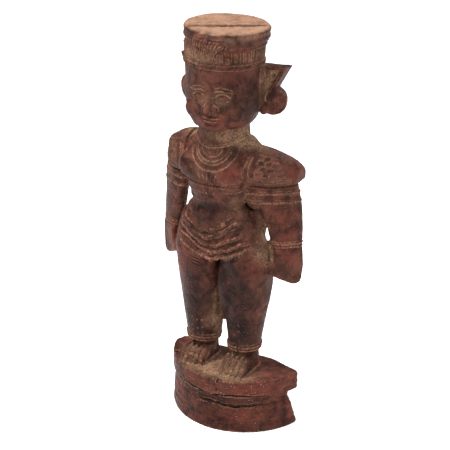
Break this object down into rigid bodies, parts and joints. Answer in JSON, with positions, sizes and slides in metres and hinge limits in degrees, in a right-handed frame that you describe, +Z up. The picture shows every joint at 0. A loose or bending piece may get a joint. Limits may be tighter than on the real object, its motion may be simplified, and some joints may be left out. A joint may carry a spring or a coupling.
{
  "type": "carved ancestor figure",
  "caption": "Standing carved wooden figure in a flat-topped cap, arms at its sides, hewn with its half-round two-step plinth from one block; stands free on a shelf.",
  "frame": {"origin": "middle of the plinth's flat underside, on the surface it stands on", "axes": "+Z up, -Y the figure's front, +X the figure's left"},
  "size_m": [0.1161, 0.0559, 0.298],
  "materials": {
    "carved_wood": "dark red-brown handled patina, tan dust in the cuts, worn paler on the edges",
    "plinth_wood": "dark red-brown, rougher than the figure, cracked along the growth rings"
  },
  "bodies": {
    "root": {"plinth_block": "plinth_wood", "plinth_band": "plinth_wood", "plinth_plate": "plinth_wood", "right_foot": "carved_wood", "left_foot": "carved_wood", "right_leg": "carved_wood", "left_leg": "carved_wood", "waistcloth": "carved_wood", "torso": "carved_wood", "neck": "carved_wood", "right_shoulder_cape": "carved_wood", "left_shoulder_cape": "carved_wood", "right_arm": "carved_wood", "left_arm": "carved_wood", "right_hand": "carved_wood", "left_hand": "carved_wood", "head": "carved_wood", "right_ear": "carved_wood", "left_ear": "carved_wood", "right_ear_stud": "carved_wood", "left_ear_stud": "carved_wood", "hair_band": "carved_wood", "cap": "carved_wood", "cap_crest": "carved_wood"}
  },
  "joints": []
}
